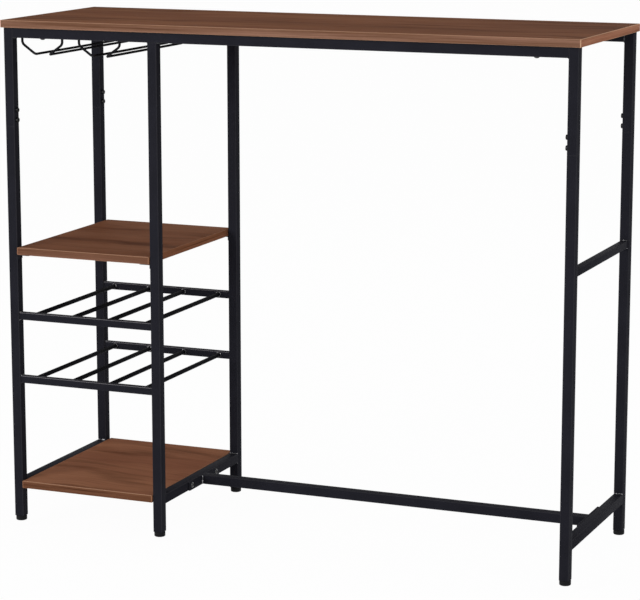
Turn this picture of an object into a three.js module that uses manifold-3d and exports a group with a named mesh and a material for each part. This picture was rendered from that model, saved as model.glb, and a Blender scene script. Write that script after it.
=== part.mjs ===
// Bar counter with shelves: a black square-tube steel frame that carries a long wooden worktop.
// The left end is a storage bay with two shelves, two bottle racks and hanging rails for
// stemmed glasses. The right end is open leg space with a footrest tube.
// Millimetres. +X runs along the counter to the right, +Y to the back and +Z up.
// The origin is on the floor, under the middle of the worktop.

import * as THREE from 'three';
import { mergeVertices } from 'three/addons/utils/BufferGeometryUtils.js';
import Module from 'manifold-3d';

// Overall size
const COUNTER_LENGTH = 1200;
const COUNTER_DEPTH = 400;
const COUNTER_HEIGHT = 1030;

// Boards
const WORKTOP_THICKNESS = 15;
const WORKTOP_OVERHANG = 5;
const WORKTOP_SCREW_INSET = 88;
const WORKTOP_SCREW_HOLE = 5;
const SHELF_THICKNESS = 15;
const SHELF_OVERHANG = 3;
const SHELF_SIDE_CLEARANCE = 0.5;
const BOARD_EDGE_BEVEL = 0.8;

// Square steel tube of the frame, and the slimmer tube of the racks and the upper side rail
const FRAME_TUBE = { size: 20, wall: 1.2, corner: 2 };
const SLIM_TUBE = { size: 15, wall: 1, corner: 1.5 };
const INNER_CHAMFER = 0.4;

// Storage bay at the left end: its clear width and the heights of what it holds
const BAY_WIDTH = 298;
const UPPER_SHELF_TOP = 572.5;
const UPPER_RACK_HEIGHT = 430.5;
const LOWER_RACK_HEIGHT = 299;
const LOWER_RAIL_HEIGHT = 76;
const UPPER_SIDE_RAIL_HEIGHT = 596.5;

// Bottle racks
const ROD_DIAMETER = 9;
const ROD_COUNT = 4;
const ROD_PITCH = 82.5;

// Joint in the corner legs: an inner sleeve with two bolts above the joint line
const LEG_JOINT_HEIGHT = 818;
const SLEEVE_REACH = 45;
const SLEEVE_WALL = 1.5;
const SLEEVE_CLEARANCE = 0.3;
const LEG_BOLT_HOLE = 6.4;
const LEG_BOLT_FIRST = 12;
const LEG_BOLT_SPACING = 20;

// Levelling feet
const FOOT_PAD_DIAMETER = 22.4;
const FOOT_PAD_HEIGHT = 9.7;
const FOOT_PAD_EDGE = 2.2;
const FOOT_STUD_DIAMETER = 8;
const FOOT_STUD_LENGTH = 26;
const FOOT_SEAT_GAP = 0.3;
const PLUG_LENGTH = 18;
const PLUG_CLEARANCE = 0.2;
const STUD_CLEARANCE = 0.3;

// Footrest tube with a flange plate at each end
const FOOTREST_PLATE_LENGTH = 144;
const FOOTREST_PLATE_THICKNESS = 3;
const FOOTREST_PLATE_CORNER = 3;
const FOOTREST_BOLT_SPACING = 116;
const FOOTREST_BOLT_HOLE = 6.4;

// Angle pieces that carry the shelves
const ANGLE_THICKNESS = 2;
const ANGLE_BEND = 3;
const ANGLE_SCREW_HOLE = 4.5;
const BRACKET_DROP = 9;
const BRACKET_REACH = 24;
const BRACKET_WIDTH = 14;
const SHELF_STRIP_DROP = 10;
const SHELF_STRIP_REACH = 20;
const SHELF_STRIP_LENGTH = 300;
const SHELF_STRIP_SCREW_SPACING = 220;

// Glass hangers: bent wires between two flat straps that are screwed up under the worktop
const HANGER_COUNT = 2;
const HANGER_FIRST_OFFSET = 54;
const HANGER_PITCH = 127.5;
const HANGER_WIRE = 5;
const HANGER_UPRIGHT_SPACING = 90;
const HANGER_RAIL_SPACING = 32;
const HANGER_UPRIGHT_DROP = 32.5;
const HANGER_RAIL_DROP = 53;
const HANGER_UPPER_BEND = 10;
const HANGER_LOWER_BEND = 5;
const HANGER_WIRE_INSET = 3.5;
const STRAP_WIDTH = 14;
const STRAP_THICKNESS = 2;
const STRAP_RAIL_CLEARANCE = 0.5;
const STRAP_SCREW_HOLE = 4.5;
const STRAP_SCREW_SPACING = 50;

// Steps in the round stretches
const CORNER_STEPS = 2;
const ROUND_SIDES = 12;
const FOOT_SIDES = 20;
const WIRE_SIDES = 8;
const BEND_STEPS = 5;
const WELD_TOLERANCE = 1e-4;
const CUT_MARGIN = 1;

// Places that follow from the sizes above
const frameHalfLength = COUNTER_LENGTH / 2 - WORKTOP_OVERHANG;
const frameHalfDepth = COUNTER_DEPTH / 2 - WORKTOP_OVERHANG;
const halfTube = FRAME_TUBE.size / 2;
const tubeBore = FRAME_TUBE.size - 2 * FRAME_TUBE.wall;
const legY = frameHalfDepth - halfTube;
const leftLegX = -frameHalfLength + halfTube;
const rightLegX = frameHalfLength - halfTube;
const bayLeft = leftLegX + halfTube;
const bayRight = bayLeft + BAY_WIDTH;
const bayMiddle = (bayLeft + bayRight) / 2;
const middleLegX = bayRight + halfTube;
const betweenLegs = 2 * (legY - halfTube);
const legFoot = FOOT_PAD_HEIGHT + FOOT_SEAT_GAP;
const worktopUnderside = COUNTER_HEIGHT - WORKTOP_THICKNESS;
const topRailHeight = worktopUnderside - halfTube;
const topRailUnderside = worktopUnderside - FRAME_TUBE.size;
const lowerShelfTop = LOWER_RAIL_HEIGHT + halfTube;
const strapOuterEdge = legY - halfTube - STRAP_RAIL_CLEARANCE;

const wasm = await Module();
wasm.setup();
const counter = new THREE.Group();
const SIDES = [['front', -1], ['rear', 1]];

// Finishes

function blackSteel() {
  return new THREE.MeshStandardMaterial({ color: 0x242428, roughness: 0.5, metalness: 0.4 });
}

function walnutBoard() {
  return new THREE.MeshStandardMaterial({ color: 0x6c4632, roughness: 0.55, metalness: 0 });
}

function blackPlastic() {
  return new THREE.MeshStandardMaterial({ color: 0x1b1b1d, roughness: 0.65, metalness: 0 });
}

// Solids for joining and cutting

function toSolid(geometry) {
  const bare = geometry.clone();
  bare.deleteAttribute('normal');
  bare.deleteAttribute('uv');
  const merged = mergeVertices(bare, WELD_TOLERANCE);
  const vertProperties = new Float32Array(merged.attributes.position.array);
  const triVerts = new Uint32Array(merged.index.array);
  return new wasm.Manifold(new wasm.Mesh({ numProp: 3, vertProperties, triVerts }));
}

function toGeometry(solid) {
  const { vertProperties, triVerts } = solid.getMesh();
  const geometry = new THREE.BufferGeometry();
  geometry.setAttribute('position', new THREE.Float32BufferAttribute(vertProperties, 3));
  geometry.setIndex(Array.from(triVerts));
  geometry.computeVertexNormals();
  return geometry;
}

function join(...geometries) {
  const [first, ...others] = geometries.map(toSolid);
  return toGeometry(others.reduce((body, next) => body.add(next), first));
}

function cut(geometry, cutters) {
  return toGeometry(cutters.map(toSolid).reduce((body, next) => body.subtract(next), toSolid(geometry)));
}

// Building blocks

function addPart(name, geometry, material, place, turn = [0, 0, 0]) {
  const mesh = new THREE.Mesh(geometry, material);
  mesh.name = name;
  mesh.position.set(...place);
  mesh.rotation.set(...turn);
  counter.add(mesh);
}

const ALONG_X = [0, Math.PI / 2, 0];
const ALONG_Y = [-Math.PI / 2, 0, 0];
const HALF_TURN = [0, 0, Math.PI];

function roundedRectangle(width, height, radius) {
  const outline = new THREE.Shape();
  for (let corner = 0; corner < 4; corner += 1) {
    const start = corner * Math.PI / 2;
    const right = corner === 0 || corner === 3 ? 1 : -1;
    const up = corner < 2 ? 1 : -1;
    const x = right * (width / 2 - radius);
    const y = up * (height / 2 - radius);
    outline.absarc(x, y, radius, start, start + Math.PI / 2);
  }
  return outline;
}

function chamferedSquare(size, chamfer) {
  const far = size / 2;
  const near = far - chamfer;
  const corners = [[far, near], [near, far], [-near, far], [-far, near],
    [-far, -near], [-near, -far], [near, -far], [far, -near]];
  return corners.map(([x, y]) => new THREE.Vector2(x, y));
}

function boreOf(tube) {
  return chamferedSquare(tube.size - 2 * tube.wall, Math.max(tube.corner - tube.wall, INNER_CHAMFER));
}

// A square tube with both ends open, standing on the XY plane
function squareTube(tube, length) {
  const section = roundedRectangle(tube.size, tube.size, tube.corner);
  section.holes.push(new THREE.Path(boreOf(tube)));
  return new THREE.ExtrudeGeometry(section, {
    depth: length, bevelEnabled: false, curveSegments: CORNER_STEPS,
  });
}

// The same tube with its middle at the origin, so that it can be turned to lie along X or Y
function centredTube(tube, length) {
  return squareTube(tube, length).translate(0, 0, -length / 2);
}

// A board standing on the XY plane, with its edges broken by a small bevel
function board(length, depth, thickness) {
  const halfLength = length / 2 - BOARD_EDGE_BEVEL;
  const halfDepth = depth / 2 - BOARD_EDGE_BEVEL;
  const outline = new THREE.Shape([
    new THREE.Vector2(-halfLength, -halfDepth),
    new THREE.Vector2(halfLength, -halfDepth),
    new THREE.Vector2(halfLength, halfDepth),
    new THREE.Vector2(-halfLength, halfDepth),
  ]);
  const slab = new THREE.ExtrudeGeometry(outline, {
    depth: thickness - 2 * BOARD_EDGE_BEVEL,
    bevelSize: BOARD_EDGE_BEVEL,
    bevelThickness: BOARD_EDGE_BEVEL,
    bevelSegments: 1,
  });
  return slab.translate(0, 0, BOARD_EDGE_BEVEL);
}

function drillAlongX(diameter, length, y, z) {
  const drill = new THREE.CylinderGeometry(diameter / 2, diameter / 2, length, ROUND_SIDES);
  return drill.rotateZ(Math.PI / 2).translate(0, y, z);
}

function drillAlongZ(diameter, length, x, y) {
  const drill = new THREE.CylinderGeometry(diameter / 2, diameter / 2, length, ROUND_SIDES);
  return drill.rotateX(Math.PI / 2).translate(x, y, 0);
}

// An angle piece bent from sheet: a vertical leaf against the plane X = 0 and a level leaf under
// the plane Z = 0, with screw holes through the level leaf at the given places along it
function angle(drop, reach, width, screwPlaces) {
  const outline = new THREE.Shape();
  outline.moveTo(0, -drop);
  outline.lineTo(ANGLE_THICKNESS, -drop);
  outline.absarc(ANGLE_BEND, -ANGLE_BEND, ANGLE_BEND - ANGLE_THICKNESS, Math.PI, Math.PI / 2, true);
  outline.lineTo(reach, -ANGLE_THICKNESS);
  outline.lineTo(reach, 0);
  outline.absarc(ANGLE_BEND, -ANGLE_BEND, ANGLE_BEND, Math.PI / 2, Math.PI);
  const bar = new THREE.ExtrudeGeometry(outline, {
    depth: width, bevelEnabled: false, curveSegments: CORNER_STEPS,
  });
  const screwX = (ANGLE_BEND + reach) / 2;
  const drillLength = 2 * (ANGLE_THICKNESS + CUT_MARGIN);
  const drills = screwPlaces.map((y) => drillAlongZ(ANGLE_SCREW_HOLE, drillLength, screwX, y));
  return cut(bar.translate(0, 0, -width / 2).rotateX(Math.PI / 2), drills);
}

// Worktop, and the long rails under its front and rear edges

function addWorktop() {
  addPart('worktop', board(COUNTER_LENGTH, COUNTER_DEPTH, WORKTOP_THICKNESS), walnutBoard(),
    [0, 0, worktopUnderside]);
}

function addTopRails() {
  const longRail = 2 * (frameHalfLength - FRAME_TUBE.size);
  const screwReach = COUNTER_LENGTH / 2 - WORKTOP_SCREW_INSET;
  const screwDrills = [-screwReach, screwReach].map((place) => drillAlongX(WORKTOP_SCREW_HOLE,
    FRAME_TUBE.size + 2 * CUT_MARGIN, 0, place));
  for (const [side, sign] of SIDES) {
    addPart(`top_rail_${side}`, cut(centredTube(FRAME_TUBE, longRail), screwDrills), blackSteel(),
      [0, sign * legY, topRailHeight], ALONG_X);
  }
}

// Legs

function legBoltDrills(centreX, base) {
  const heights = [LEG_BOLT_FIRST, LEG_BOLT_FIRST + LEG_BOLT_SPACING];
  return heights.map((height) => drillAlongX(LEG_BOLT_HOLE, FRAME_TUBE.size, 0, base + height)
    .translate(centreX, 0, 0));
}

function addCornerLegs() {
  const sleeveTube = { size: tubeBore - 2 * SLEEVE_CLEARANCE, wall: SLEEVE_WALL, corner: FRAME_TUBE.corner };
  for (const [end, x, inward] of [['left', leftLegX, 1], ['right', rightLegX, -1]]) {
    for (const [side, sign] of SIDES) {
      const y = sign * legY;
      const drillX = inward * halfTube;
      addPart(`leg_${side}_${end}`, squareTube(FRAME_TUBE, LEG_JOINT_HEIGHT - legFoot), blackSteel(),
        [x, y, legFoot]);
      const legTop = squareTube(FRAME_TUBE, worktopUnderside - LEG_JOINT_HEIGHT);
      addPart(`leg_top_${side}_${end}`, cut(legTop, legBoltDrills(drillX, 0)), blackSteel(),
        [x, y, LEG_JOINT_HEIGHT]);
      const sleeve = squareTube(sleeveTube, 2 * SLEEVE_REACH);
      addPart(`leg_sleeve_${side}_${end}`, cut(sleeve, legBoltDrills(drillX, SLEEVE_REACH)), blackSteel(),
        [x, y, LEG_JOINT_HEIGHT - SLEEVE_REACH]);
    }
  }
}

function addMiddleLegs() {
  for (const [side, sign] of SIDES) {
    addPart(`leg_${side}_middle`, squareTube(FRAME_TUBE, topRailUnderside - legFoot), blackSteel(),
      [middleLegX, sign * legY, legFoot]);
  }
}

// Each leg ends in a threaded plug, with a levelling foot screwed in to its stop

function footBody() {
  const pad = FOOT_PAD_DIAMETER / 2;
  const stud = FOOT_STUD_DIAMETER / 2;
  const tip = FOOT_PAD_HEIGHT + FOOT_STUD_LENGTH;
  const profile = new THREE.Path();
  profile.moveTo(0, 0);
  profile.lineTo(pad - FOOT_PAD_EDGE, 0);
  profile.absarc(pad - FOOT_PAD_EDGE, FOOT_PAD_EDGE, FOOT_PAD_EDGE, -Math.PI / 2, 0);
  profile.lineTo(pad, FOOT_PAD_HEIGHT - FOOT_PAD_EDGE / 3);
  profile.lineTo(pad - FOOT_PAD_EDGE / 3, FOOT_PAD_HEIGHT);
  profile.lineTo(stud, FOOT_PAD_HEIGHT);
  profile.lineTo(stud, tip - stud / 4);
  profile.lineTo(stud * 3 / 4, tip);
  profile.lineTo(0, tip);
  return new THREE.LatheGeometry(profile.getPoints(CORNER_STEPS), FOOT_SIDES).rotateX(Math.PI / 2);
}

function plugBody() {
  const chamfer = Math.max(FRAME_TUBE.corner - FRAME_TUBE.wall, INNER_CHAMFER);
  const section = new THREE.Shape(chamferedSquare(tubeBore - 2 * PLUG_CLEARANCE, chamfer));
  const bore = new THREE.Path();
  bore.absarc(0, 0, FOOT_STUD_DIAMETER / 2 + STUD_CLEARANCE, 0, 2 * Math.PI);
  section.holes.push(bore);
  return new THREE.ExtrudeGeometry(section, {
    depth: PLUG_LENGTH, bevelEnabled: false, curveSegments: FOOT_SIDES / 2,
  });
}

function addFeet() {
  for (const [place, x] of [['left', leftLegX], ['middle', middleLegX], ['right', rightLegX]]) {
    for (const [side, sign] of SIDES) {
      addPart(`foot_plug_${side}_${place}`, plugBody(), blackPlastic(), [x, sign * legY, legFoot]);
      addPart(`foot_${side}_${place}`, footBody(), blackPlastic(), [x, sign * legY, 0]);
    }
  }
}

// Rails between the front and the rear legs

function addSideRails() {
  addPart('lower_rail_left', centredTube(FRAME_TUBE, betweenLegs), blackSteel(),
    [leftLegX, 0, LOWER_RAIL_HEIGHT], ALONG_Y);
  for (const [place, x, inward] of [['middle', middleLegX, 1], ['right', rightLegX, -1]]) {
    const drills = SIDES.map(([, sign]) => drillAlongX(FOOTREST_BOLT_HOLE, FRAME_TUBE.size,
      0, sign * FOOTREST_BOLT_SPACING / 2).translate(inward * halfTube, 0, 0));
    addPart(`lower_rail_${place}`, cut(centredTube(FRAME_TUBE, betweenLegs), drills), blackSteel(),
      [x, 0, LOWER_RAIL_HEIGHT], ALONG_Y);
  }
  addPart('upper_side_rail', centredTube(SLIM_TUBE, betweenLegs), blackSteel(),
    [rightLegX, 0, UPPER_SIDE_RAIL_HEIGHT], ALONG_Y);
}

// Footrest: a tube between the flange plates that are bolted to the middle and right lower rails

function addFootrest() {
  const railFaces = [['left', middleLegX + halfTube, 1], ['right', rightLegX - halfTube, -1]];
  const plateMiddles = railFaces.map(([, face, inward]) => face + inward * FOOTREST_PLATE_THICKNESS / 2);
  const tubeLength = plateMiddles[1] - plateMiddles[0] - FOOTREST_PLATE_THICKNESS;
  addPart('footrest_tube', centredTube(FRAME_TUBE, tubeLength), blackSteel(),
    [(plateMiddles[0] + plateMiddles[1]) / 2, 0, LOWER_RAIL_HEIGHT], ALONG_X);
  railFaces.forEach(([end], index) => {
    const outline = roundedRectangle(FOOTREST_PLATE_LENGTH, FRAME_TUBE.size, FOOTREST_PLATE_CORNER);
    const flat = new THREE.ExtrudeGeometry(outline, {
      depth: FOOTREST_PLATE_THICKNESS, bevelEnabled: false, curveSegments: CORNER_STEPS,
    }).translate(0, 0, -FOOTREST_PLATE_THICKNESS / 2).rotateX(Math.PI / 2).rotateZ(Math.PI / 2);
    const drills = SIDES.map(([, sign]) => drillAlongX(FOOTREST_BOLT_HOLE,
      FOOTREST_PLATE_THICKNESS + 2 * CUT_MARGIN, sign * FOOTREST_BOLT_SPACING / 2, 0));
    addPart(`footrest_plate_${end}`, cut(flat, drills), blackSteel(),
      [plateMiddles[index], 0, LOWER_RAIL_HEIGHT]);
  });
}

// Shelves of the storage bay, and the angle pieces under them

function addShelves() {
  const width = BAY_WIDTH - 2 * SHELF_SIDE_CLEARANCE;
  const depth = 2 * (frameHalfDepth + SHELF_OVERHANG);
  const upperUnderside = UPPER_SHELF_TOP - SHELF_THICKNESS;
  const lowerUnderside = lowerShelfTop - SHELF_THICKNESS;
  addPart('upper_shelf', board(width, depth, SHELF_THICKNESS), walnutBoard(), [bayMiddle, 0, upperUnderside]);
  addPart('lower_shelf', board(width, depth, SHELF_THICKNESS), walnutBoard(), [bayMiddle, 0, lowerUnderside]);
  for (const [end, x, turn] of [['left', bayLeft, [0, 0, 0]], ['right', bayRight, HALF_TURN]]) {
    for (const [side, sign] of SIDES) {
      addPart(`shelf_bracket_${side}_${end}`, angle(BRACKET_DROP, BRACKET_REACH, BRACKET_WIDTH, [0]),
        blackSteel(), [x, sign * legY, upperUnderside], turn);
    }
    const stripScrews = SIDES.map(([, sign]) => sign * SHELF_STRIP_SCREW_SPACING / 2);
    addPart(`shelf_strip_${end}`, angle(SHELF_STRIP_DROP, SHELF_STRIP_REACH, SHELF_STRIP_LENGTH, stripScrews),
      blackSteel(), [x, 0, lowerUnderside], turn);
  }
}

// Bottle racks: two bars between the legs, and rods between the bars

function addRacks() {
  const rodLength = 2 * (legY - SLIM_TUBE.size / 2);
  for (const [level, height] of [['upper', UPPER_RACK_HEIGHT], ['lower', LOWER_RACK_HEIGHT]]) {
    for (const [side, sign] of SIDES) {
      addPart(`${level}_rack_bar_${side}`, centredTube(SLIM_TUBE, BAY_WIDTH), blackSteel(),
        [bayMiddle, sign * legY, height], ALONG_X);
    }
    for (let index = 0; index < ROD_COUNT; index += 1) {
      const x = bayMiddle + (index - (ROD_COUNT - 1) / 2) * ROD_PITCH;
      const rod = new THREE.CylinderGeometry(ROD_DIAMETER / 2, ROD_DIAMETER / 2, rodLength, ROUND_SIDES);
      addPart(`${level}_rack_rod_${index + 1}`, rod, blackSteel(), [x, 0, height]);
    }
  }
}

// Glass hangers

// A path through given stations, which an extrusion visits one by one
class WirePath extends THREE.Curve {
  constructor(stations) {
    super();
    this.stations = stations;
  }

  getUtoTmapping(u) {
    return u;
  }

  getPoint(t, target = new THREE.Vector3()) {
    const last = this.stations.length - 1;
    const index = Math.min(Math.floor(t * last + WELD_TOLERANCE), last - 1);
    return target.lerpVectors(this.stations[index], this.stations[index + 1], t * last - index);
  }
}

// The stations of a bent wire: straight runs between corners, and an arc of its own radius at each bend
function bendWire(corners, radii) {
  const stations = [corners[0]];
  for (let index = 1; index < corners.length - 1; index += 1) {
    const corner = corners[index];
    const radius = radii[index - 1];
    const back = corners[index - 1].clone().sub(corner).normalize();
    const ahead = corners[index + 1].clone().sub(corner).normalize();
    const halfAngle = back.angleTo(ahead) / 2;
    const bisector = back.clone().add(ahead).normalize();
    const centre = corner.clone().addScaledVector(bisector, radius / Math.sin(halfAngle));
    const sweep = Math.PI / 2 - halfAngle;
    const across = ahead.clone().sub(back).normalize();
    for (let step = 0; step <= BEND_STEPS; step += 1) {
      const turn = sweep * (2 * step / BEND_STEPS - 1);
      stations.push(centre.clone()
        .addScaledVector(bisector, -radius * Math.cos(turn))
        .addScaledVector(across, radius * Math.sin(turn)));
    }
  }
  stations.push(corners[corners.length - 1]);
  return stations;
}

// One wire of a hanger: down from the front strap, in to its rail, back along it and up to the rear strap
function hangerWire(sign) {
  const uprightX = sign * HANGER_UPRIGHT_SPACING / 2;
  const railX = sign * HANGER_RAIL_SPACING / 2;
  const endY = strapOuterEdge - HANGER_WIRE_INSET;
  const top = -STRAP_THICKNESS / 2;
  const corners = [
    [uprightX, -endY, top], [uprightX, -endY, -HANGER_UPRIGHT_DROP], [railX, -endY, -HANGER_RAIL_DROP],
    [railX, endY, -HANGER_RAIL_DROP], [uprightX, endY, -HANGER_UPRIGHT_DROP], [uprightX, endY, top],
  ].map((corner) => new THREE.Vector3(...corner));
  const stations = bendWire(corners,
    [HANGER_UPPER_BEND, HANGER_LOWER_BEND, HANGER_LOWER_BEND, HANGER_UPPER_BEND]);
  const section = new THREE.Shape();
  section.absarc(0, 0, HANGER_WIRE / 2, 0, 2 * Math.PI);
  return new THREE.ExtrudeGeometry(section, {
    steps: stations.length - 1, curveSegments: WIRE_SIDES / 2, bevelEnabled: false,
    extrudePath: new WirePath(stations),
  });
}

// The flat strap that carries two wire ends, with its round ends and its two screw holes
function hangerStrap(side) {
  const reach = HANGER_UPRIGHT_SPACING / 2;
  const outline = new THREE.Shape();
  outline.absarc(reach, 0, STRAP_WIDTH / 2, -Math.PI / 2, Math.PI / 2);
  outline.absarc(-reach, 0, STRAP_WIDTH / 2, Math.PI / 2, 3 * Math.PI / 2);
  for (const sign of [-1, 1]) {
    const hole = new THREE.Path();
    hole.absarc(sign * STRAP_SCREW_SPACING / 2, 0, STRAP_SCREW_HOLE / 2, 0, 2 * Math.PI);
    outline.holes.push(hole);
  }
  const flat = new THREE.ExtrudeGeometry(outline, {
    depth: STRAP_THICKNESS, bevelEnabled: false, curveSegments: WIRE_SIDES / 2,
  });
  return flat.translate(0, side * (strapOuterEdge - STRAP_WIDTH / 2), -STRAP_THICKNESS);
}

function addHangers() {
  for (let index = 0; index < HANGER_COUNT; index += 1) {
    const x = bayLeft + HANGER_FIRST_OFFSET + index * HANGER_PITCH;
    const hanger = join(hangerStrap(-1), hangerStrap(1), hangerWire(-1), hangerWire(1));
    addPart(`glass_hanger_${index + 1}`, hanger, blackSteel(), [x, 0, worktopUnderside]);
  }
}

addWorktop();
addTopRails();
addCornerLegs();
addMiddleLegs();
addSideRails();
addFeet();
addFootrest();
addShelves();
addRacks();
addHangers();

export default counter;
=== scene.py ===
import math

import bpy
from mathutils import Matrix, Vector


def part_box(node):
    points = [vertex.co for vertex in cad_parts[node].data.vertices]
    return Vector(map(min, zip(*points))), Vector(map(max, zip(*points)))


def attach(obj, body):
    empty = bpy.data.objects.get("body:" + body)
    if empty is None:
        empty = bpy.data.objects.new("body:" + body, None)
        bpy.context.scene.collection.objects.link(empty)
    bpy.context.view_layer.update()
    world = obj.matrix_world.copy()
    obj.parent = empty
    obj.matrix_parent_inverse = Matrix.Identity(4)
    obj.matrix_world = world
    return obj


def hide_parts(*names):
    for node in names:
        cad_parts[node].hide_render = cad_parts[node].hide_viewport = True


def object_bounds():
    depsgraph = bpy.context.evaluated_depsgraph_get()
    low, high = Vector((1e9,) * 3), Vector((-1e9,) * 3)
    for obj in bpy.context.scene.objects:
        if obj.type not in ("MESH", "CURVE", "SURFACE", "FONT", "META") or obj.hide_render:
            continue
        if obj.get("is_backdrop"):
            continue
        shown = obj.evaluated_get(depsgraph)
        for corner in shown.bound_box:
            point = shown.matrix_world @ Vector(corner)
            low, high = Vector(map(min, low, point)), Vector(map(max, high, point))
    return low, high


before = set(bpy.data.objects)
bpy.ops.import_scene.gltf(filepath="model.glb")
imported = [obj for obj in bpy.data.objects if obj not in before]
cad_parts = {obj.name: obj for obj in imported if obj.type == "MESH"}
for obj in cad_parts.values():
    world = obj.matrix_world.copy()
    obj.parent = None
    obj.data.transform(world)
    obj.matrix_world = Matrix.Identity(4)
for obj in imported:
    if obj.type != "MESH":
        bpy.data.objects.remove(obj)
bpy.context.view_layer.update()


# TOP FRAME
# A front and a rear rail and four short leg tops of 20 mm square steel tube carry the worktop.
# They are sawn square, welded into two wide arches and powder coated matt black.

MM = 0.001
# Points closer together than this count as one.
SAME_PLACE = 1e-6
FRAME_CORNER = 2 * MM
SAW_CUT_EDGE = 0.35 * MM
LEG_CORNERS = ("front_left", "front_right", "rear_left", "rear_right")


def linear(hex_colour):
    channels = [int(hex_colour[i:i + 2], 16) / 255 for i in (1, 3, 5)]
    return [*(c / 12.92 if c <= 0.04045 else ((c + 0.055) / 1.055) ** 2.4 for c in channels), 1]


def add_node(owner, kind, inputs=None, **settings):
    made = owner.node_tree.nodes.new(kind)
    for name, value in settings.items():
        setattr(made, name, value)
    for name, value in (inputs or {}).items():
        if isinstance(value, bpy.types.NodeSocket):
            owner.node_tree.links.new(value, made.inputs[name])
        else:
            made.inputs[name].default_value = value
    return made


def new_material(name):
    material = bpy.data.materials.new(name)
    material.use_nodes = True
    return material, material.node_tree.nodes["Principled BSDF"]


# Powder coat on steel: a cured polyester film, nearly matt, with a fine orange peel.
# To the eye it is a soft black, painted a little paler at its saw cuts, as wear and as a painted highlight.
# Along the rounded corners of a tube a painted highlight makes it paler, and on a bar's upper corners it can
# be stronger.
def black_coat(name, dark, pale, corner_highlight, upper_highlight):
    material, shader = new_material(name)
    place = add_node(material, "ShaderNodeTexCoord").outputs["Object"]
    # Its tone drifts in clouds about 60 mm across.
    cloud = add_node(material, "ShaderNodeTexNoise", {"Vector": place, "Scale": 1 / (60 * MM), "Detail": 3})
    # The peel of the real film is about 0.4 mm across; it is drawn at 1.5 mm so that it shows.
    peel = add_node(material, "ShaderNodeTexNoise", {"Vector": place, "Scale": 1 / (1.5 * MM), "Detail": 2})
    tone = add_node(material, "ShaderNodeMix",
                    {0: cloud.outputs["Fac"], 6: linear(dark), 7: linear(pale)}, data_type="RGBA")
    # Sharp edges are found by how far the surface turns within 1.6 mm, rounded corners by how far it leans.
    rounded = add_node(material, "ShaderNodeBevel", {"Radius": 1.6 * MM}, samples=4)
    surface = add_node(material, "ShaderNodeNewGeometry")
    edge_turn = add_node(material, "ShaderNodeVectorMath",
                         {0: rounded.outputs["Normal"], 1: surface.outputs["Normal"]},
                         operation="DOT_PRODUCT")
    # A painted highlight, partly wear: up to 8% paler at saw cuts and sharp edges.
    saw_cut_wear_and_highlight = add_node(material, "ShaderNodeMapRange",
                    {"Value": edge_turn.outputs["Value"], "From Min": 0.985, "From Max": 0.9, "To Max": 0.08})
    lift = add_node(material, "ShaderNodeSeparateXYZ", {"Vector": surface.outputs["Normal"]})
    # A painted highlight on rounded corners, its strength blended from the side corners to the upper corners.
    highlight_by_lift = add_node(material, "ShaderNodeMapRange",
                   {"Value": lift.outputs["Z"], "From Min": 0.2, "From Max": 0.4,
                    "To Min": corner_highlight, "To Max": upper_highlight})
    lean = add_node(material, "ShaderNodeVectorMath", {0: surface.outputs["Normal"]}, operation="ABSOLUTE")
    parts = add_node(material, "ShaderNodeSeparateXYZ", {"Vector": lean.outputs["Vector"]})
    level = add_node(material, "ShaderNodeMath",
                     {0: parts.outputs["X"], 1: parts.outputs["Y"]}, operation="MAXIMUM")
    square = add_node(material, "ShaderNodeMath",
                      {0: level.outputs["Value"], 1: parts.outputs["Z"]}, operation="MAXIMUM")
    corner = add_node(material, "ShaderNodeMapRange",
                      {"Value": square.outputs["Value"], "From Min": 0.98, "From Max": 0.88,
                       "To Max": highlight_by_lift.outputs["Result"]})
    paler = add_node(material, "ShaderNodeMath",
                     {0: saw_cut_wear_and_highlight.outputs["Result"], 1: corner.outputs["Result"]}, operation="MAXIMUM")
    colour = add_node(material, "ShaderNodeMix",
                      # 8a888c is the pale grey of the painted highlights.
                      {0: paler.outputs["Value"], 6: tone.outputs[2], 7: linear("#8a888c")}, data_type="RGBA")
    sheen = add_node(material, "ShaderNodeMapRange",
                     {"Value": peel.outputs["Fac"], "To Min": 0.52, "To Max": 0.66})
    bump = add_node(material, "ShaderNodeBump",
                    {"Height": peel.outputs["Fac"], "Strength": 0.25, "Distance": 0.2 * MM})
    links = material.node_tree.links
    links.new(colour.outputs[2], shader.inputs["Base Color"])
    links.new(sheen.outputs["Result"], shader.inputs["Roughness"])
    links.new(bump.outputs["Normal"], shader.inputs["Normal"])
    shader.inputs["Specular IOR Level"].default_value = 0.01
    return material


powder_coat = black_coat("matt_black_powder_coat", "#1c1c21", "#25252c", corner_highlight=0.06, upper_highlight=0.06)


def dress(piece, material, body="frame", node=None):
    piece.data.materials.clear()
    piece.data.materials.append(material)
    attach(piece, body)
    if node:
        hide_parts(node)


def add_block(name, low, high):
    bpy.ops.object.select_all(action="DESELECT")
    bpy.ops.mesh.primitive_cube_add(size=1, location=(low + high) / 2, scale=high - low)
    block = bpy.context.object
    block.name = name
    bpy.ops.object.transform_apply()
    return block


def bevel_edges(piece, wanted, width, segments):
    bpy.context.tool_settings.mesh_select_mode = (False, True, False)
    mesh = piece.data
    for parts in (mesh.vertices, mesh.edges, mesh.polygons):
        parts.foreach_set("select", [False] * len(parts))
    for edge in mesh.edges:
        edge.select = wanted(*(mesh.vertices[i].co for i in edge.vertices))
    bpy.ops.object.mode_set(mode="EDIT")
    bpy.ops.mesh.bevel(offset=width, segments=segments, affect="EDGES")
    bpy.ops.object.mode_set(mode="OBJECT")


def lies_on(a, b, axis, place):
    return max(abs(a[axis] - place), abs(b[axis] - place)) < SAME_PLACE


def smooth(piece, degrees=30):
    bpy.ops.object.select_all(action="DESELECT")
    piece.select_set(True)
    bpy.context.view_layer.objects.active = piece
    bpy.ops.object.shade_smooth_by_angle(angle=math.radians(degrees))


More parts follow.
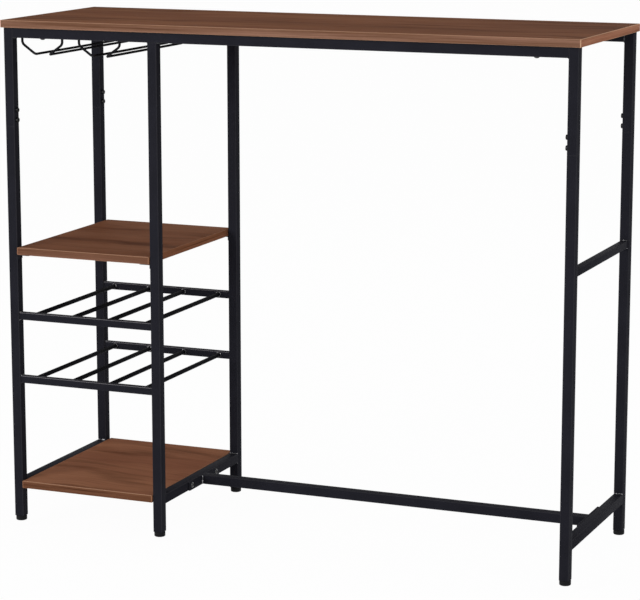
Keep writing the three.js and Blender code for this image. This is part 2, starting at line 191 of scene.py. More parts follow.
def square_tube(node, corner, material=powder_coat):
    low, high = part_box(node)
    tube = add_block(node + "_tube", low, high)
    along = max(range(3), key=lambda axis: high[axis] - low[axis])
    length = high[along] - low[along]
    bevel_edges(tube, lambda a, b: abs(a[along] - b[along]) > length / 2, corner, segments=4)
    for cut in (low[along], high[along]):
        bevel_edges(tube, lambda a, b: lies_on(a, b, along, cut), SAW_CUT_EDGE, segments=2)
    smooth(tube)
    dress(tube, material, node=node)


for rail in ("front", "rear"):
    square_tube("top_rail_" + rail, FRAME_CORNER)
for corner in LEG_CORNERS:
    square_tube("leg_top_" + corner, FRAME_CORNER)


# WELDS OF THE TOP FRAME
# Short fillet welds join the rails to the leg tops, on the underside and on the inner side of each rail.
# Each is a row of overlapping ripples left by the torch, coated with the rest.

BEAD = 1.7 * MM
# A weld stops short of the tube's rounded corners.
WELD_INSET = 3 * MM


# The coat is glossy over a weld, and its colour carries small painted glints, so each bead shows as a few
# small bright points.
# The painted glints lie about 4 mm apart.
def coated_weld(name, glint_colour):
    material, shader = new_material(name)
    place = add_node(material, "ShaderNodeTexCoord").outputs["Object"]
    cloud = add_node(material, "ShaderNodeTexNoise", {"Vector": place, "Scale": 1 / (4 * MM), "Detail": 2})
    glint_spots = add_node(material, "ShaderNodeMapRange",
                    {"Value": cloud.outputs["Fac"], "From Min": 0.55, "From Max": 0.65})
    tone = add_node(material, "ShaderNodeMix",
                    {0: glint_spots.outputs["Result"], 6: linear("#1c1c21"), 7: linear(glint_colour)}, data_type="RGBA")
    sheen = add_node(material, "ShaderNodeMapRange",
                     {"Value": cloud.outputs["Fac"], "To Min": 0.18, "To Max": 0.34})
    material.node_tree.links.new(tone.outputs[2], shader.inputs["Base Color"])
    material.node_tree.links.new(sheen.outputs["Result"], shader.inputs["Roughness"])
    return material


top_weld_coat = coated_weld("gloss_black_coat_on_welds_with_painted_glints", "#6c6c71")


def weld(run_start, run_end, size):
    start, end = Vector(run_start), Vector(run_end)
    ripple_pitch = 0.75 * size
    count = max(2, round((end - start).length / ripple_pitch))
    bpy.ops.object.select_all(action="DESELECT")
    bpy.ops.mesh.primitive_uv_sphere_add(segments=10, ring_count=6, radius=size, location=start)
    bead = bpy.context.object
    ripples = bead.modifiers.new("ripples", "ARRAY")
    ripples.use_relative_offset = False
    ripples.use_constant_offset = True
    ripples.constant_offset_displace = (end - start) / (count - 1)
    ripples.count = count
    bpy.ops.object.modifier_apply(modifier=ripples.name)
    bpy.ops.object.transform_apply()
    return bead


def join_pieces(name, pieces):
    bpy.ops.object.select_all(action="DESELECT")
    for piece in pieces:
        piece.select_set(True)
    bpy.context.view_layer.objects.active = pieces[0]
    bpy.ops.object.join()
    pieces[0].name = name
    return pieces[0]


def finish_welds(name, beads, material):
    welds = join_pieces(name, beads)
    smooth(welds, degrees=60)
    dress(welds, material)


beads = []
for rail, end in ((rail, end) for rail in ("front", "rear") for end in (-1, 1)):
    low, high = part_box("top_rail_" + rail)
    x = low.x if end < 0 else high.x
    inner = high.y if rail == "front" else low.y
    beads.append(weld((x, low.y + WELD_INSET, low.z), (x, high.y - WELD_INSET, low.z), BEAD))
    beads.append(weld((x, inner, low.z + WELD_INSET), (x, inner, high.z - WELD_INSET), BEAD))
finish_welds("top_frame_welds", beads, top_weld_coat)


# CORNER LEGS
# The four corner legs are separate tubes, so that the counter packs flat.
# Each slides onto a square sleeve inside its leg top and meets it at a fine seam.

for corner in LEG_CORNERS:
    square_tube("leg_" + corner, FRAME_CORNER)
    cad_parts["leg_sleeve_" + corner].material_slots[0].material = powder_coat


# LEG JOINT BOLTS
# Two low cap-head bolts clamp each leg top to its sleeve, from the side that faces along the counter.
# They are M6 steel bolts with a black oxide finish, driven with a hexagon key.

# Heights above the seam between leg and leg top.
LEG_BOLT_HEIGHTS = (12 * MM, 32 * MM)


# Black oxide on steel: a thin dark conversion layer, darker than the coat.
# To the eye it is nearly matt where it is dry and glossy where oil is left on it, mottled about every 2 mm.
def black_oxide(name, gloss):
    material, shader = new_material(name)
    place = add_node(material, "ShaderNodeTexCoord").outputs["Object"]
    cloud = add_node(material, "ShaderNodeTexNoise", {"Vector": place, "Scale": 1 / (2 * MM), "Detail": 3})
    tone = add_node(material, "ShaderNodeMix",
                    {0: cloud.outputs["Fac"], 6: linear("#0c0c0e"), 7: linear("#161619")}, data_type="RGBA")
    sheen = add_node(material, "ShaderNodeMapRange",
                     {"Value": cloud.outputs["Fac"], "To Min": 0.2, "To Max": 0.3})
    material.node_tree.links.new(tone.outputs[2], shader.inputs["Base Color"])
    material.node_tree.links.new(sheen.outputs["Result"], shader.inputs["Roughness"])
    shader.inputs["Specular IOR Level"].default_value = gloss
    return material


dry_oxide = black_oxide("dry_black_oxide_steel", gloss=0.15)


def cut_socket(head, height, key):
    bpy.ops.object.select_all(action="DESELECT")
    bpy.ops.mesh.primitive_cylinder_add(vertices=6, radius=key / math.sqrt(3), depth=height,
                                        location=(0, 0, height))
    socket = bpy.context.object
    recess = head.modifiers.new("key_socket", "BOOLEAN")
    recess.operation = "DIFFERENCE"
    recess.object = socket
    bpy.context.view_layer.objects.active = head
    bpy.ops.object.modifier_apply(modifier=recess.name)
    bpy.data.objects.remove(socket)
    smooth(head, degrees=40)


def cap_head(width, height, key):
    bpy.ops.object.select_all(action="DESELECT")
    bpy.ops.mesh.primitive_cylinder_add(vertices=32, radius=width / 2, depth=height,
                                        location=(0, 0, height / 2))
    head = bpy.context.object
    bpy.ops.object.transform_apply()
    bevel_edges(head, lambda a, b: lies_on(a, b, 2, height), height / 4, segments=4)
    cut_socket(head, height, key)
    return head


def place_copy(pattern, name, place, facing):
    bpy.ops.object.select_all(action="DESELECT")
    pattern.select_set(True)
    bpy.context.view_layer.objects.active = pattern
    bpy.ops.object.duplicate()
    copy = bpy.context.object
    copy.name = name
    copy.location = place
    copy.rotation_euler = Vector(facing).to_track_quat("Z", "Y").to_euler()
    bpy.ops.object.transform_apply()
    return copy


leg_bolt = cap_head(width=10 * MM, height=4.6 * MM, key=4 * MM)
for side, end in ((side, end) for side in ("front", "rear") for end in ("left", "right")):
    low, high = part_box(f"leg_top_{side}_{end}")
    inward = 1 if end == "left" else -1
    face = high.x if end == "left" else low.x
    for number, height in enumerate(LEG_BOLT_HEIGHTS, 1):
        bolt = place_copy(leg_bolt, f"leg_bolt_{side}_{end}_{number}",
                          (face, (low.y + high.y) / 2, low.z + height), (inward, 0, 0))
        dress(bolt, dry_oxide)
bpy.data.objects.remove(leg_bolt)


# MIDDLE LEGS
# One length of the same tube from the floor to the underside of the top rails.
# They close the storage bay and are welded to the rails on both sides.

beads = []
for side in ("front", "rear"):
    square_tube(f"leg_{side}_middle", FRAME_CORNER)
    low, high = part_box(f"leg_{side}_middle")
    for x in (low.x, high.x):
        beads.append(weld((x, low.y + WELD_INSET, high.z), (x, high.y - WELD_INSET, high.z), BEAD))
finish_welds("middle_leg_welds", beads, top_weld_coat)


# SIDE RAILS
# Each pair of legs has a lower rail, and the right pair also has a slimmer rail at mid height.
# Their sawn ends are welded between the legs, above and below.

SLIM_CORNER = 1.5 * MM
RAIL_WELD_INSET = 2.5 * MM

# Low down and inside the racks the welds carry brighter painted glints.
low_weld_coat = coated_weld("black_coat_on_welds_with_bright_painted_glints", "#d0d0d4")
beads = []
for rail, corner in (("lower_rail_left", FRAME_CORNER), ("lower_rail_middle", FRAME_CORNER),
                     ("lower_rail_right", FRAME_CORNER), ("upper_side_rail", SLIM_CORNER)):
    square_tube(rail, corner)
    low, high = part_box(rail)
    for y, z in ((y, z) for y in (low.y, high.y) for z in (low.z, high.z)):
        beads.append(weld((low.x + RAIL_WELD_INSET, y, z), (high.x - RAIL_WELD_INSET, y, z), BEAD))
finish_welds("side_rail_welds", beads, low_weld_coat)


# LEVELLING FEET
# A moulded nylon pad on an M8 threaded stud screws into a plug in the end of each leg.
# The pad is a smooth puck with a well rounded bottom edge, a little wider than the leg.

# Black nylon: injection moulded with a fine spark texture, softly grey where it catches the light.
# The real texture is about 0.1 mm across; it is drawn at 0.8 mm so that it shows.
black_nylon, nylon_shader = new_material("moulded_black_nylon")
nylon_place = add_node(black_nylon, "ShaderNodeTexCoord").outputs["Object"]
nylon_grain = add_node(black_nylon, "ShaderNodeTexNoise",
                       {"Vector": nylon_place, "Scale": 1 / (0.8 * MM), "Detail": 2})
nylon_tone = add_node(black_nylon, "ShaderNodeMix",
                      {0: nylon_grain.outputs["Fac"], 6: linear("#0f0f11"), 7: linear("#18181b")},
                      data_type="RGBA")
nylon_sheen = add_node(black_nylon, "ShaderNodeMapRange",
                       {"Value": nylon_grain.outputs["Fac"], "To Min": 0.5, "To Max": 0.68})
nylon_bump = add_node(black_nylon, "ShaderNodeBump",
                      {"Height": nylon_grain.outputs["Fac"], "Strength": 0.2, "Distance": 0.1 * MM})
nylon_shader.inputs["Specular IOR Level"].default_value = 0.1
nylon_links = black_nylon.node_tree.links
nylon_links.new(nylon_tone.outputs[2], nylon_shader.inputs["Base Color"])
nylon_links.new(nylon_sheen.outputs["Result"], nylon_shader.inputs["Roughness"])
nylon_links.new(nylon_bump.outputs["Normal"], nylon_shader.inputs["Normal"])

foot_low, foot_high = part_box("foot_front_left")
PAD_WIDTH = foot_high.x - foot_low.x
PAD_HEIGHT = 9.7 * MM
PAD_BOTTOM_EDGE = 2.2 * MM
PAD_TOP_EDGE = 0.8 * MM
STUD_WIDTH = 8 * MM
STUD_TOP = foot_high.z
STUD_CHAMFER = 1 * MM
STUD_SUNK = 2 * MM
THREAD_DEPTH = 0.6 * MM
THREAD_PITCH = 1.25 * MM
THREAD_TURNS = 20
THREAD_STEPS = 18

bpy.ops.object.select_all(action="DESELECT")
bpy.ops.mesh.primitive_cylinder_add(vertices=48, radius=PAD_WIDTH / 2, depth=PAD_HEIGHT,
                                    location=(0, 0, PAD_HEIGHT / 2))
foot_pad = bpy.context.object
bpy.ops.object.transform_apply()
bevel_edges(foot_pad, lambda a, b: lies_on(a, b, 2, 0), PAD_BOTTOM_EDGE, segments=5)
bevel_edges(foot_pad, lambda a, b: lies_on(a, b, 2, PAD_HEIGHT), PAD_TOP_EDGE, segments=3)
smooth(foot_pad, degrees=35)

bpy.ops.object.select_all(action="DESELECT")
bpy.ops.mesh.primitive_circle_add(vertices=3, radius=THREAD_DEPTH, rotation=(math.pi / 2, 0, 0),
                                  location=(STUD_WIDTH / 2 - THREAD_DEPTH, 0, PAD_HEIGHT))
foot_stud = bpy.context.object
bpy.ops.object.transform_apply()
turns = foot_stud.modifiers.new("thread", "SCREW")
turns.axis = "Z"
turns.screw_offset = THREAD_PITCH
turns.iterations = THREAD_TURNS
turns.steps = turns.render_steps = THREAD_STEPS
turns.use_merge_vertices = False
bpy.ops.object.modifier_apply(modifier=turns.name)
bpy.ops.object.mode_set(mode="EDIT")
bpy.ops.mesh.select_all(action="SELECT")
bpy.ops.mesh.fill_holes(sides=3)
bpy.ops.mesh.normals_make_consistent(inside=False)
bpy.ops.object.mode_set(mode="OBJECT")
bpy.ops.object.select_all(action="DESELECT")
bpy.ops.mesh.primitive_cylinder_add(vertices=24, radius=STUD_WIDTH / 2 - THREAD_DEPTH,
                                    depth=STUD_TOP - PAD_HEIGHT + STUD_SUNK,
                                    location=(0, 0, (STUD_TOP + PAD_HEIGHT - STUD_SUNK) / 2))
stud_core = bpy.context.object
bpy.ops.object.transform_apply()
bevel_edges(stud_core, lambda a, b: lies_on(a, b, 2, STUD_TOP), STUD_CHAMFER, segments=2)
foot_stud = join_pieces("foot_stud_pattern", [foot_stud, stud_core])
smooth(foot_stud, degrees=35)

for side, place in ((side, place) for side in ("front", "rear") for place in ("left", "middle", "right")):
    name = f"{side}_{place}"
    low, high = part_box("foot_" + name)
    middle = ((low.x + high.x) / 2, (low.y + high.y) / 2, 0)
    pad = place_copy(foot_pad, f"foot_pad_{name}", middle, (0, 0, 1))
    dress(pad, black_nylon, "levelling_foot_" + name, "foot_" + name)
    stud = place_copy(foot_stud, f"foot_stud_{name}", middle, (0, 0, 1))
    dress(stud, dry_oxide, "levelling_foot_" + name)
    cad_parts["foot_plug_" + name].material_slots[0].material = black_nylon
for pattern in (foot_pad, foot_stud):
    bpy.data.objects.remove(pattern)


# FOOTREST
# A tube runs low down between the middle and the right lower rail, welded to a flange plate at each end.
# The plates are bolted to the rails, two button-head bolts each.

PLATE_CORNER = 3 * MM
PLATE_EDGE = 0.4 * MM
PLATE_BOLT_INSET = 14 * MM


def button_head(width, height, key):
    ball = (width * width / 4 + height * height) / (2 * height)
    bpy.ops.object.select_all(action="DESELECT")
    bpy.ops.mesh.primitive_uv_sphere_add(segments=28, ring_count=28, radius=ball,
                                         location=(0, 0, height - ball))
    head = bpy.context.object
    bpy.ops.object.transform_apply()
    bpy.ops.object.mode_set(mode="EDIT")
    bpy.ops.mesh.select_all(action="SELECT")
    bpy.ops.mesh.bisect(plane_co=(0, 0, 0), plane_no=(0, 0, 1), use_fill=True, clear_inner=True)
    bpy.ops.object.mode_set(mode="OBJECT")
    cut_socket(head, height, key)
    return head


oiled_oxide = black_oxide("oiled_black_oxide_steel", gloss=0.6)
frame_bolt = button_head(width=12 * MM, height=3.4 * MM, key=4 * MM)
square_tube("footrest_tube", FRAME_CORNER)
beads = []
for end, inward in (("left", 1), ("right", -1)):
    low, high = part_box("footrest_plate_" + end)
    plate = add_block("footrest_flange_" + end, low, high)
    bevel_edges(plate, lambda a, b: abs(a.x - b.x) > SAME_PLACE, PLATE_CORNER, segments=4)
    bevel_edges(plate, lambda a, b: abs(a.x - b.x) < SAME_PLACE, PLATE_EDGE, segments=2)
    smooth(plate)
    dress(plate, powder_coat, node="footrest_plate_" + end)
    face = high.x if inward > 0 else low.x
    for number, y in enumerate((low.y + PLATE_BOLT_INSET, high.y - PLATE_BOLT_INSET), 1):
        bolt = place_copy(frame_bolt, f"footrest_bolt_{end}_{number}",
                          (face, y, (low.z + high.z) / 2), (inward, 0, 0))
        dress(bolt, oiled_oxide)
    tube_low, tube_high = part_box("footrest_tube")
    for y in (tube_low.y, tube_high.y):
        beads.append(weld((face, y, tube_low.z + WELD_INSET), (face, y, tube_high.z - WELD_INSET), BEAD))
finish_welds("footrest_welds", beads, low_weld_coat)


# SHELF SUPPORTS
# Small bent-steel angles on the legs carry the upper shelf, two angle strips on the rails the lower shelf.
# They are spot welded to the frame and coated with it, and sunk screws go up through them into the boards.

ANGLE_THICKNESS = 2 * MM
BRACKET_SCREW_INSET = 13.5 * MM
STRIP_SCREW_INSET = 11.5 * MM
STRIP_SCREW_REACH = 110 * MM
sunk_screw = button_head(width=8 * MM, height=0.5 * MM, key=2.5 * MM)
for end, inward in (("left", 1), ("right", -1)):
    supports = [(f"shelf_bracket_{side}_{end}", BRACKET_SCREW_INSET, (0,)) for side in ("front", "rear")]
    supports.append((f"shelf_strip_{end}", STRIP_SCREW_INSET, (-STRIP_SCREW_REACH, STRIP_SCREW_REACH)))
    for support, screw_inset, reaches in supports:
        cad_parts[support].material_slots[0].material = powder_coat
        low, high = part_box(support)
        x = low.x + screw_inset if inward > 0 else high.x - screw_inset
        for number, reach in enumerate(reaches, 1):
            screw = place_copy(sunk_screw, f"{support}_screw_{number}",
                               (x, (low.y + high.y) / 2 + reach, high.z - ANGLE_THICKNESS), (0, 0, -1))
            dress(screw, dry_oxide)
bpy.data.objects.remove(sunk_screw)


# SHELVES
# Each shelf is a chipboard panel faced with a printed walnut laminate on both sides.
# Its four edges are closed by a thin walnut-print band with softened corners.

BAND = 2 * MM
BAND_CORNER = 1.4 * MM
PANEL_EDGE = 0.15 * MM


# Walnut laminate: a printed and lightly embossed melamine face, matt, with no end grain.
# To the eye it is a warm mid brown with a few long dark flames that drift, and fine grain lines along them.
# An edge band has straight fine lines, and a painted highlight runs as a pale line along its rounded corners.
def walnut(name, deep, middle, pale, band_facing=None, corner="#a98268", flame=320):
    material, shader = new_material(name)
    place = add_node(material, "ShaderNodeTexCoord").outputs["Object"]
    turn = math.pi / 2 if band_facing == "X" else 0
    turned = add_node(material, "ShaderNodeMapping",
                      {"Vector": place, "Rotation": (0, 0, turn)}).outputs["Vector"]
    # The grain of a face wanders by up to 45 mm over a quarter of a metre, that of a band by 2 mm.
    drift = add_node(material, "ShaderNodeTexNoise", {"Vector": turned, "Scale": 1 / (260 * MM), "Detail": 2})
    sway = add_node(material, "ShaderNodeVectorMath",
                    {0: drift.outputs["Color"], 1: (0.5, 0.5, 0.5)}, operation="SUBTRACT")
    wander = (0, 0, 4 * MM) if band_facing else (0, 90 * MM, 0)
    bend = add_node(material, "ShaderNodeVectorMath",
                    {0: sway.outputs["Vector"], 1: wander, 2: turned}, operation="MULTIPLY_ADD")
    colour = linear(middle)
    # Each layer of the figure: length and width of its marks in millimetres, the noise at which they start
    # and are full, their strength and their colour. The pores, the last layer, are about 0.3 mm wide in the
    # real print and are drawn three times as wide so that they show.
    widths = (14, 5, 2) if band_facing else (110, 42, 5)
    for length, width, start, end, strength, tone in (
            (450, widths[0], 0.4, 0.62, 1, pale), (flame, widths[1], 0.52, 0.72, 0.85, deep),
            (160, widths[2], 0.48, 0.75, 0.4, deep), (20, 1, 0.55, 0.75, 0.25, deep)):
        stretched = add_node(material, "ShaderNodeMapping",
                             {"Vector": bend.outputs["Vector"],
                              "Scale": (1 / (length * MM), 1 / (width * MM), 1 / (width * MM))})
        marks = add_node(material, "ShaderNodeTexNoise",
                         {"Vector": stretched.outputs["Vector"], "Scale": 1, "Detail": 3, "Roughness": 0.55})
        amount = add_node(material, "ShaderNodeMapRange",
                          {"Value": marks.outputs["Fac"], "From Min": start, "From Max": end,
                           "To Max": strength})
        colour = add_node(material, "ShaderNodeMix",
                          {0: amount.outputs["Result"], 6: colour, 7: linear(tone)},
                          data_type="RGBA").outputs[2]
    # The band's rounded corners are painted in the pale corner colour, as a painted highlight.
    if band_facing:
        surface = add_node(material, "ShaderNodeNewGeometry")
        normal = add_node(material, "ShaderNodeSeparateXYZ", {"Vector": surface.outputs["Normal"]})
        outward = add_node(material, "ShaderNodeMath", {0: normal.outputs[band_facing]}, operation="ABSOLUTE")
        painted_edge_highlight = add_node(material, "ShaderNodeMapRange",
                          {"Value": outward.outputs["Value"], "From Min": 0.97, "From Max": 0.8})
        colour = add_node(material, "ShaderNodeMix",
                          {0: painted_edge_highlight.outputs["Result"], 6: colour, 7: linear(corner)},
                          data_type="RGBA").outputs[2]
    sheen = add_node(material, "ShaderNodeMapRange",
                     {"Value": marks.outputs["Fac"], "To Min": 0.65, "To Max": 0.8})
    emboss = add_node(material, "ShaderNodeBump",
                      {"Height": amount.outputs["Result"], "Strength": 0.25, "Distance": 0.1 * MM},
                      invert=True)
    links = material.node_tree.links
    links.new(colour, shader.inputs["Base Color"])
    links.new(sheen.outputs["Result"], shader.inputs["Roughness"])
    links.new(emboss.outputs["Normal"], shader.inputs["Normal"])
    shader.inputs["Specular IOR Level"].default_value = 0.01
    return material


def banded_board(node, face, long_band, end_band):
    low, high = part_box(node)
    core = add_block(node + "_panel", low + Vector((BAND, BAND, 0)), high - Vector((BAND, BAND, 0)))
    bevel_edges(core, lambda a, b: abs(a.z - b.z) < SAME_PLACE, PANEL_EDGE, segments=1)
    smooth(core)
    dress(core, face, node=node)

    # A corner of the board is where two of its six faces meet; the butt joints between the bands stay sharp.
    def on_board_corner(a, b):
        return sum(lies_on(a, b, axis, limit[axis]) for axis in range(3) for limit in (low, high)) == 2

    # The end bands go on last and cover the ends of the long ones.
    inner_low, inner_high = low.x + BAND, high.x - BAND
    edges = (("front", (inner_low, low.y, low.z), (inner_high, low.y + BAND, high.z), long_band),
             ("rear", (inner_low, high.y - BAND, low.z), (inner_high, high.y, high.z), long_band),
             ("left", low, (inner_low, high.y, high.z), end_band),
             ("right", (inner_high, low.y, low.z), high, end_band))
    for edge, start, stop, material in edges:
        band = add_block(f"{node}_band_{edge}", Vector(start), Vector(stop))
        bevel_edges(band, on_board_corner, BAND_CORNER, segments=4)
        smooth(band)
        dress(band, material)


# The same walnut print is toned per board as painted light and shade: the lower shelf painted lighter than
# the upper one, and the shelves' end band painted darker than the worktop's.
shelf_end_band = walnut("walnut_end_band_shelf", "#4f2e1b", "#774c34", "#85573f", "X", "#8f664e")
banded_board("upper_shelf", walnut("walnut_laminate_upper", "#502f1e", "#784c35", "#875b43"),
             walnut("walnut_edge_band_upper", "#452a1a", "#6c4a39", "#7e5948", "Y"), shelf_end_band)
banded_board("lower_shelf", walnut("walnut_laminate_lower", "#5a3622", "#875740", "#98674c"),
             walnut("walnut_edge_band_lower", "#3e2213", "#623f2c", "#724c38", "Y"), shelf_end_band)


# BOTTLE RACKS
# Two racks between the shelves, each of two slim square bars across the bay and four round rods.
# Bottles lie in the gaps. The bars are welded to the legs, and the rods to the bars all the way round.

ROD_COUNT = 4
ROD_END_EDGE = 0.4 * MM
RACK_BEAD = 1.4 * MM
RACK_WELD_INSET = 2 * MM
COLLAR_BEAD = 1.3 * MM
COLLAR_STAND = 0.5 * MM
COLLAR_RIPPLE = 0.35 * MM

# The same coat as on the frame, with a painted highlight as a grey line along the upper corners of the bars.
highlit_bar_coat = black_coat("black_powder_coat_with_painted_bar_highlights", "#1c1c21", "#25252c", corner_highlight=0.06, upper_highlight=0.6)
# On thin rods and wires the coat is painted darker, as painted shade, so that their lit upper sides stay
# evenly black.
darkened_round_coat = black_coat("darkened_black_powder_coat_on_rods", "#0f0f12", "#16161a", corner_highlight=0, upper_highlight=0)
beads = []
for level in ("upper", "lower"):
    for side in ("front", "rear"):
        bar = f"{level}_rack_bar_{side}"
        square_tube(bar, SLIM_CORNER, highlit_bar_coat)
        low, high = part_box(bar)
        for x, z in ((x, z) for x in (low.x, high.x) for z in (low.z, high.z)):
            beads.append(weld((x, low.y + RACK_WELD_INSET, z), (x, high.y - RACK_WELD_INSET, z), RACK_BEAD))
    for number in range(1, ROD_COUNT + 1):
        node = f"{level}_rack_rod_{number}"
        low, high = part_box(node)
        middle = (low + high) / 2
        radius = (high.z - low.z) / 2
        bpy.ops.object.select_all(action="DESELECT")
        bpy.ops.mesh.primitive_cylinder_add(vertices=32, radius=radius, depth=high.y - low.y,
                                            location=middle, rotation=(math.pi / 2, 0, 0))
        rod = bpy.context.object
        rod.name = node + "_round"
        bpy.ops.object.transform_apply()
        bevel_edges(rod, lambda a, b: abs(a.y - b.y) < SAME_PLACE, ROD_END_EDGE, segments=2)
        smooth(rod)
        dress(rod, darkened_round_coat, node=node)
        for y in (low.y, high.y):
            bpy.ops.object.select_all(action="DESELECT")
            bpy.ops.mesh.primitive_torus_add(major_radius=radius + COLLAR_STAND, minor_radius=COLLAR_BEAD,
                                             major_segments=20, minor_segments=8,
                                             location=(middle.x, y, middle.z), rotation=(math.pi / 2, 0, 0))
            collar = bpy.context.object
            bpy.ops.object.transform_apply()
            bpy.ops.object.mode_set(mode="EDIT")
            bpy.ops.mesh.select_all(action="SELECT")
            bpy.ops.transform.vertex_random(offset=COLLAR_RIPPLE, seed=number)
            bpy.ops.object.mode_set(mode="OBJECT")
            beads.append(collar)
finish_welds("rack_welds", beads, low_weld_coat)


# WORKTOP
# One long board of the same make as the shelves lies on the top rails and stands 5 mm over them all round.
# Screws driven up through the rails hold it down; their button heads show under the front and rear rails.

WORKTOP_SCREW_REACH = 512 * MM
# The worktop's face is painted darker than the shelves' as painted shade, and its end band much lighter as
# painted light on the end that faces the fill lamp.
banded_board("worktop", walnut("walnut_laminate_worktop", "#432514", "#70462f", "#805339", flame=480),
             walnut("walnut_edge_band_worktop", "#432818", "#6f4e3c", "#8a6654", "Y"),
             walnut("walnut_end_band_worktop", "#5c3724", "#9b674f", "#b17c62", "X", "#c39a7d"))
for side in ("front", "rear"):
    low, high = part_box("top_rail_" + side)
    for number, x in enumerate((-WORKTOP_SCREW_REACH, WORKTOP_SCREW_REACH), 1):
        screw = place_copy(frame_bolt, f"worktop_screw_{side}_{number}",
                           (x, (low.y + high.y) / 2, low.z), (0, 0, -1))
        dress(screw, oiled_oxide)


# GLASS HANGERS
# Two pairs of bent 5 mm steel wires hang stemmed glasses by their feet, under the worktop at the bay's left.
# The wire ends are welded to flat straps, and each strap is held up to the board by two small screws.

HANGER_MIDDLES = (-521 * MM, -393.5 * MM)
UPRIGHT_REACH = 45 * MM
WIRE_RAIL_REACH = 16 * MM
WIRE_END = 171 * MM
WIRE_WIDTH = 5 * MM
STRAP_WIDTH = 14 * MM
STRAP_OUTER = 174.5 * MM
STRAP_THICKNESS = 2 * MM
STRAP_END_CORNER = 6.9 * MM
STRAP_SCREW_REACH = 25 * MM
BOARD_UNDERSIDE = 1015 * MM
WIRE_TOP = BOARD_UNDERSIDE - STRAP_THICKNESS / 2
BEND_HEIGHT = 982.5 * MM
WIRE_RAIL_HEIGHT = 962 * MM
UPPER_BEND = 10 * MM
LOWER_BEND = 5 * MM


def bend_wire(name, corners, bends):
    bpy.ops.object.select_all(action="DESELECT")
    bpy.ops.mesh.primitive_plane_add(size=MM, location=corners[0])
    wire = bpy.context.object
    wire.name = name
    bpy.ops.object.transform_apply()
    bpy.context.tool_settings.mesh_select_mode = (True, False, False)
    bpy.ops.object.mode_set(mode="EDIT")
    bpy.ops.mesh.select_all(action="SELECT")
    bpy.ops.mesh.merge(type="CENTER")
    for start, end in zip(corners, corners[1:]):
        bpy.ops.mesh.extrude_region_move(TRANSFORM_OT_translate={"value": Vector(end) - Vector(start)})
    bpy.ops.object.mode_set(mode="OBJECT")
    for corner, reach in bends:
        for vertex in wire.data.vertices:
            vertex.select = (vertex.co - Vector(corner)).length < 10 * SAME_PLACE
        bpy.ops.object.mode_set(mode="EDIT")
        bpy.ops.mesh.bevel(offset=reach, segments=8, affect="VERTICES")
        bpy.ops.object.mode_set(mode="OBJECT")
    bpy.ops.object.convert(target="CURVE")
    wire.data.bevel_depth = WIRE_WIDTH / 2
    wire.data.bevel_resolution = 4
    wire.data.use_fill_caps = True
    bpy.ops.object.convert(target="MESH")
    return bpy.context.object


strap_screw = button_head(width=8 * MM, height=2.2 * MM, key=2.5 * MM)
for number, middle in enumerate(HANGER_MIDDLES, 1):
    for sign in (-1, 1):
        upright, rail = middle + sign * UPRIGHT_REACH, middle + sign * WIRE_RAIL_REACH
        corners = [(upright, -WIRE_END, WIRE_TOP), (upright, -WIRE_END, BEND_HEIGHT),
                   (rail, -WIRE_END, WIRE_RAIL_HEIGHT), (rail, WIRE_END, WIRE_RAIL_HEIGHT),
                   (upright, WIRE_END, BEND_HEIGHT), (upright, WIRE_END, WIRE_TOP)]
        slant = math.atan2(UPRIGHT_REACH - WIRE_RAIL_REACH, BEND_HEIGHT - WIRE_RAIL_HEIGHT)
        upper_reach = UPPER_BEND * math.tan(slant / 2)
        wire = bend_wire(f"hanger_wire_{number}_{'left' if sign < 0 else 'right'}", corners,
                         [(corners[1], upper_reach), (corners[2], LOWER_BEND),
                          (corners[3], LOWER_BEND), (corners[4], upper_reach)])
        smooth(wire, degrees=50)
        dress(wire, darkened_round_coat)
    for side, sign in (("front", -1), ("rear", 1)):
        y = sign * (STRAP_OUTER - STRAP_WIDTH / 2)
        reach = Vector((UPRIGHT_REACH + STRAP_WIDTH / 2, STRAP_WIDTH / 2, STRAP_THICKNESS / 2))
        centre = Vector((middle, y, BOARD_UNDERSIDE - STRAP_THICKNESS / 2))
        strap = add_block(f"hanger_strap_{number}_{side}", centre - reach, centre + reach)
        bevel_edges(strap, lambda a, b: abs(a.z - b.z) > SAME_PLACE, STRAP_END_CORNER, segments=8)
        smooth(strap)
        dress(strap, powder_coat)
        for place, x in (("left", middle - STRAP_SCREW_REACH), ("right", middle + STRAP_SCREW_REACH)):
            screw = place_copy(strap_screw, f"hanger_screw_{number}_{side}_{place}",
                               (x, y, BOARD_UNDERSIDE - STRAP_THICKNESS), (0, 0, -1))
            dress(screw, oiled_oxide)
    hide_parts(f"glass_hanger_{number}")
for pattern in (frame_bolt, strap_screw):
    bpy.data.objects.remove(pattern)


# STUDIO
# A wide white paper floor under soft lamps, with a white surround that is brighter near the horizon.
# The floor lies just below the feet's lowest reach, so that they stay in sight when they are screwed out.

FLOOR_WIDTH = 40
FLOOR_LEVEL = -12.5 * MM
# Share of its own white in the floor as it is seen; the rest is lit and keeps a faint shadow.
FLOOR_WHITE = 0.97
LAMP_WIDTH = 2.4


# Rays that show the background: those of the camera, and those by which gloss and glass mirror it.
def showing_rays(owner):
    rays = add_node(owner, "ShaderNodeLightPath").outputs
    seen = add_node(owner, "ShaderNodeMath",
                    {0: rays["Is Camera Ray"], 1: rays["Is Glossy Ray"]}, operation="MAXIMUM")
    shown = add_node(owner, "ShaderNodeMath",
                     {0: seen.outputs["Value"], 1: rays["Is Transmission Ray"]}, operation="MAXIMUM")
    return shown.outputs["Value"]


floor_paper, floor_shader = new_material("white_paper_floor")
floor_shader.inputs["Base Color"].default_value = linear("#f4f4f4")
floor_shader.inputs["Roughness"].default_value = 0.9
floor_glow = add_node(floor_paper, "ShaderNodeEmission", {"Color": linear("#ffffff"), "Strength": 1})
floor_share = add_node(floor_paper, "ShaderNodeMath",
                       {0: showing_rays(floor_paper), 1: FLOOR_WHITE}, operation="MULTIPLY")
floor_mix = add_node(floor_paper, "ShaderNodeMixShader",
                     {0: floor_share.outputs["Value"], 1: floor_shader.outputs["BSDF"],
                      2: floor_glow.outputs["Emission"]})
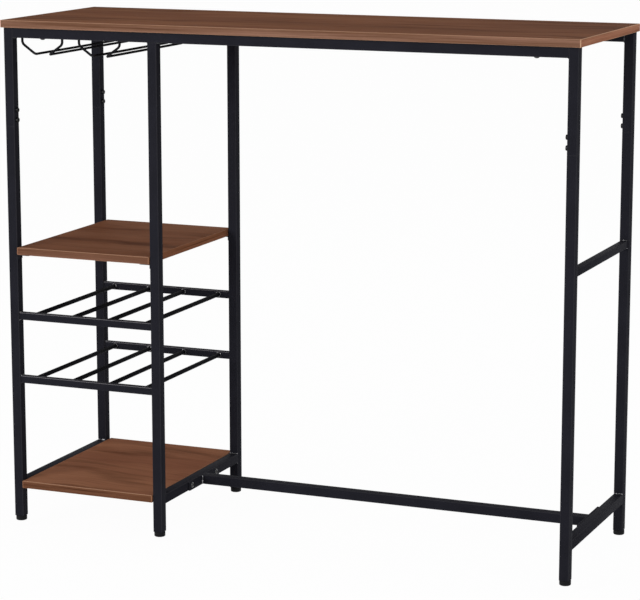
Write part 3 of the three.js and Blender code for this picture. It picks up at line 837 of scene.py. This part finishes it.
# From below the paper is left out, so that the underside can be looked at.
floor_side = add_node(floor_paper, "ShaderNodeNewGeometry")
floor_clear = add_node(floor_paper, "ShaderNodeBsdfTransparent")
floor_surface = add_node(floor_paper, "ShaderNodeMixShader",
                         {0: floor_side.outputs["Backfacing"], 1: floor_mix.outputs["Shader"],
                          2: floor_clear.outputs["BSDF"]})
floor_paper.node_tree.links.new(floor_surface.outputs["Shader"],
                                floor_paper.node_tree.nodes["Material Output"].inputs["Surface"])
bpy.ops.object.select_all(action="DESELECT")
bpy.ops.mesh.primitive_plane_add(size=FLOOR_WIDTH, location=(0, 0, FLOOR_LEVEL))
floor = bpy.context.object
floor.name = "floor"
floor.data.materials.append(floor_paper)
floor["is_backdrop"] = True

world = bpy.data.worlds.new("white_surround")
bpy.context.scene.world = world
world.use_nodes = True
surround = world.node_tree.nodes["Background"]
surround.inputs["Color"].default_value = linear("#ffffff")
direction = add_node(world, "ShaderNodeTexCoord").outputs["Generated"]
height = add_node(world, "ShaderNodeSeparateXYZ", {"Vector": direction})
soft_light = add_node(world, "ShaderNodeMapRange",
                      {"Value": height.outputs["Z"], "To Min": 0.75, "To Max": 0.35})
strength = add_node(world, "ShaderNodeMapRange",
                    {"Value": showing_rays(world), "To Min": soft_light.outputs["Result"], "To Max": 1})
world.node_tree.links.new(strength.outputs["Result"], surround.inputs["Strength"])


def add_lamp(name, place, aim, power):
    bpy.ops.object.light_add(type="AREA", location=place)
    lamp = bpy.context.object
    lamp.name = name
    lamp.rotation_euler = (Vector(aim) - Vector(place)).to_track_quat("-Z", "Y").to_euler()
    lamp.data.shape = "DISK"
    lamp.data.size = LAMP_WIDTH
    lamp.data.energy = power


add_lamp("key_lamp", place=(-2.2, -4.2, 2.0), aim=(0, 0, 0.6), power=110)
add_lamp("fill_lamp", place=(3.4, -2.6, 1.8), aim=(0, 0, 0.5), power=28)
add_lamp("back_lamp", place=(0.5, 3.6, 2.4), aim=(0, 0, 0.6), power=15)

bpy.context.scene.view_settings.view_transform = "Standard"


# CAMERA
# The view of the photograph: from the right of the front, above the worktop, through a long lens.
# It looks down a little and its frame isn't shifted, so that views from other sides aren't cropped.

CAMERA_PLACE = (1.8749, -4.4882, 1.4060)
CAMERA_DOWN = 0.1897
CAMERA_TURN = 0.3945
LENS_LENGTH = 138.5
SENSOR_WIDTH = 36
bpy.ops.object.camera_add(location=CAMERA_PLACE, rotation=(math.pi / 2 - CAMERA_DOWN, 0, CAMERA_TURN))
camera = bpy.context.object
camera.data.lens = LENS_LENGTH
camera.data.sensor_width = SENSOR_WIDTH
bpy.context.scene.camera = camera

low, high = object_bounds()
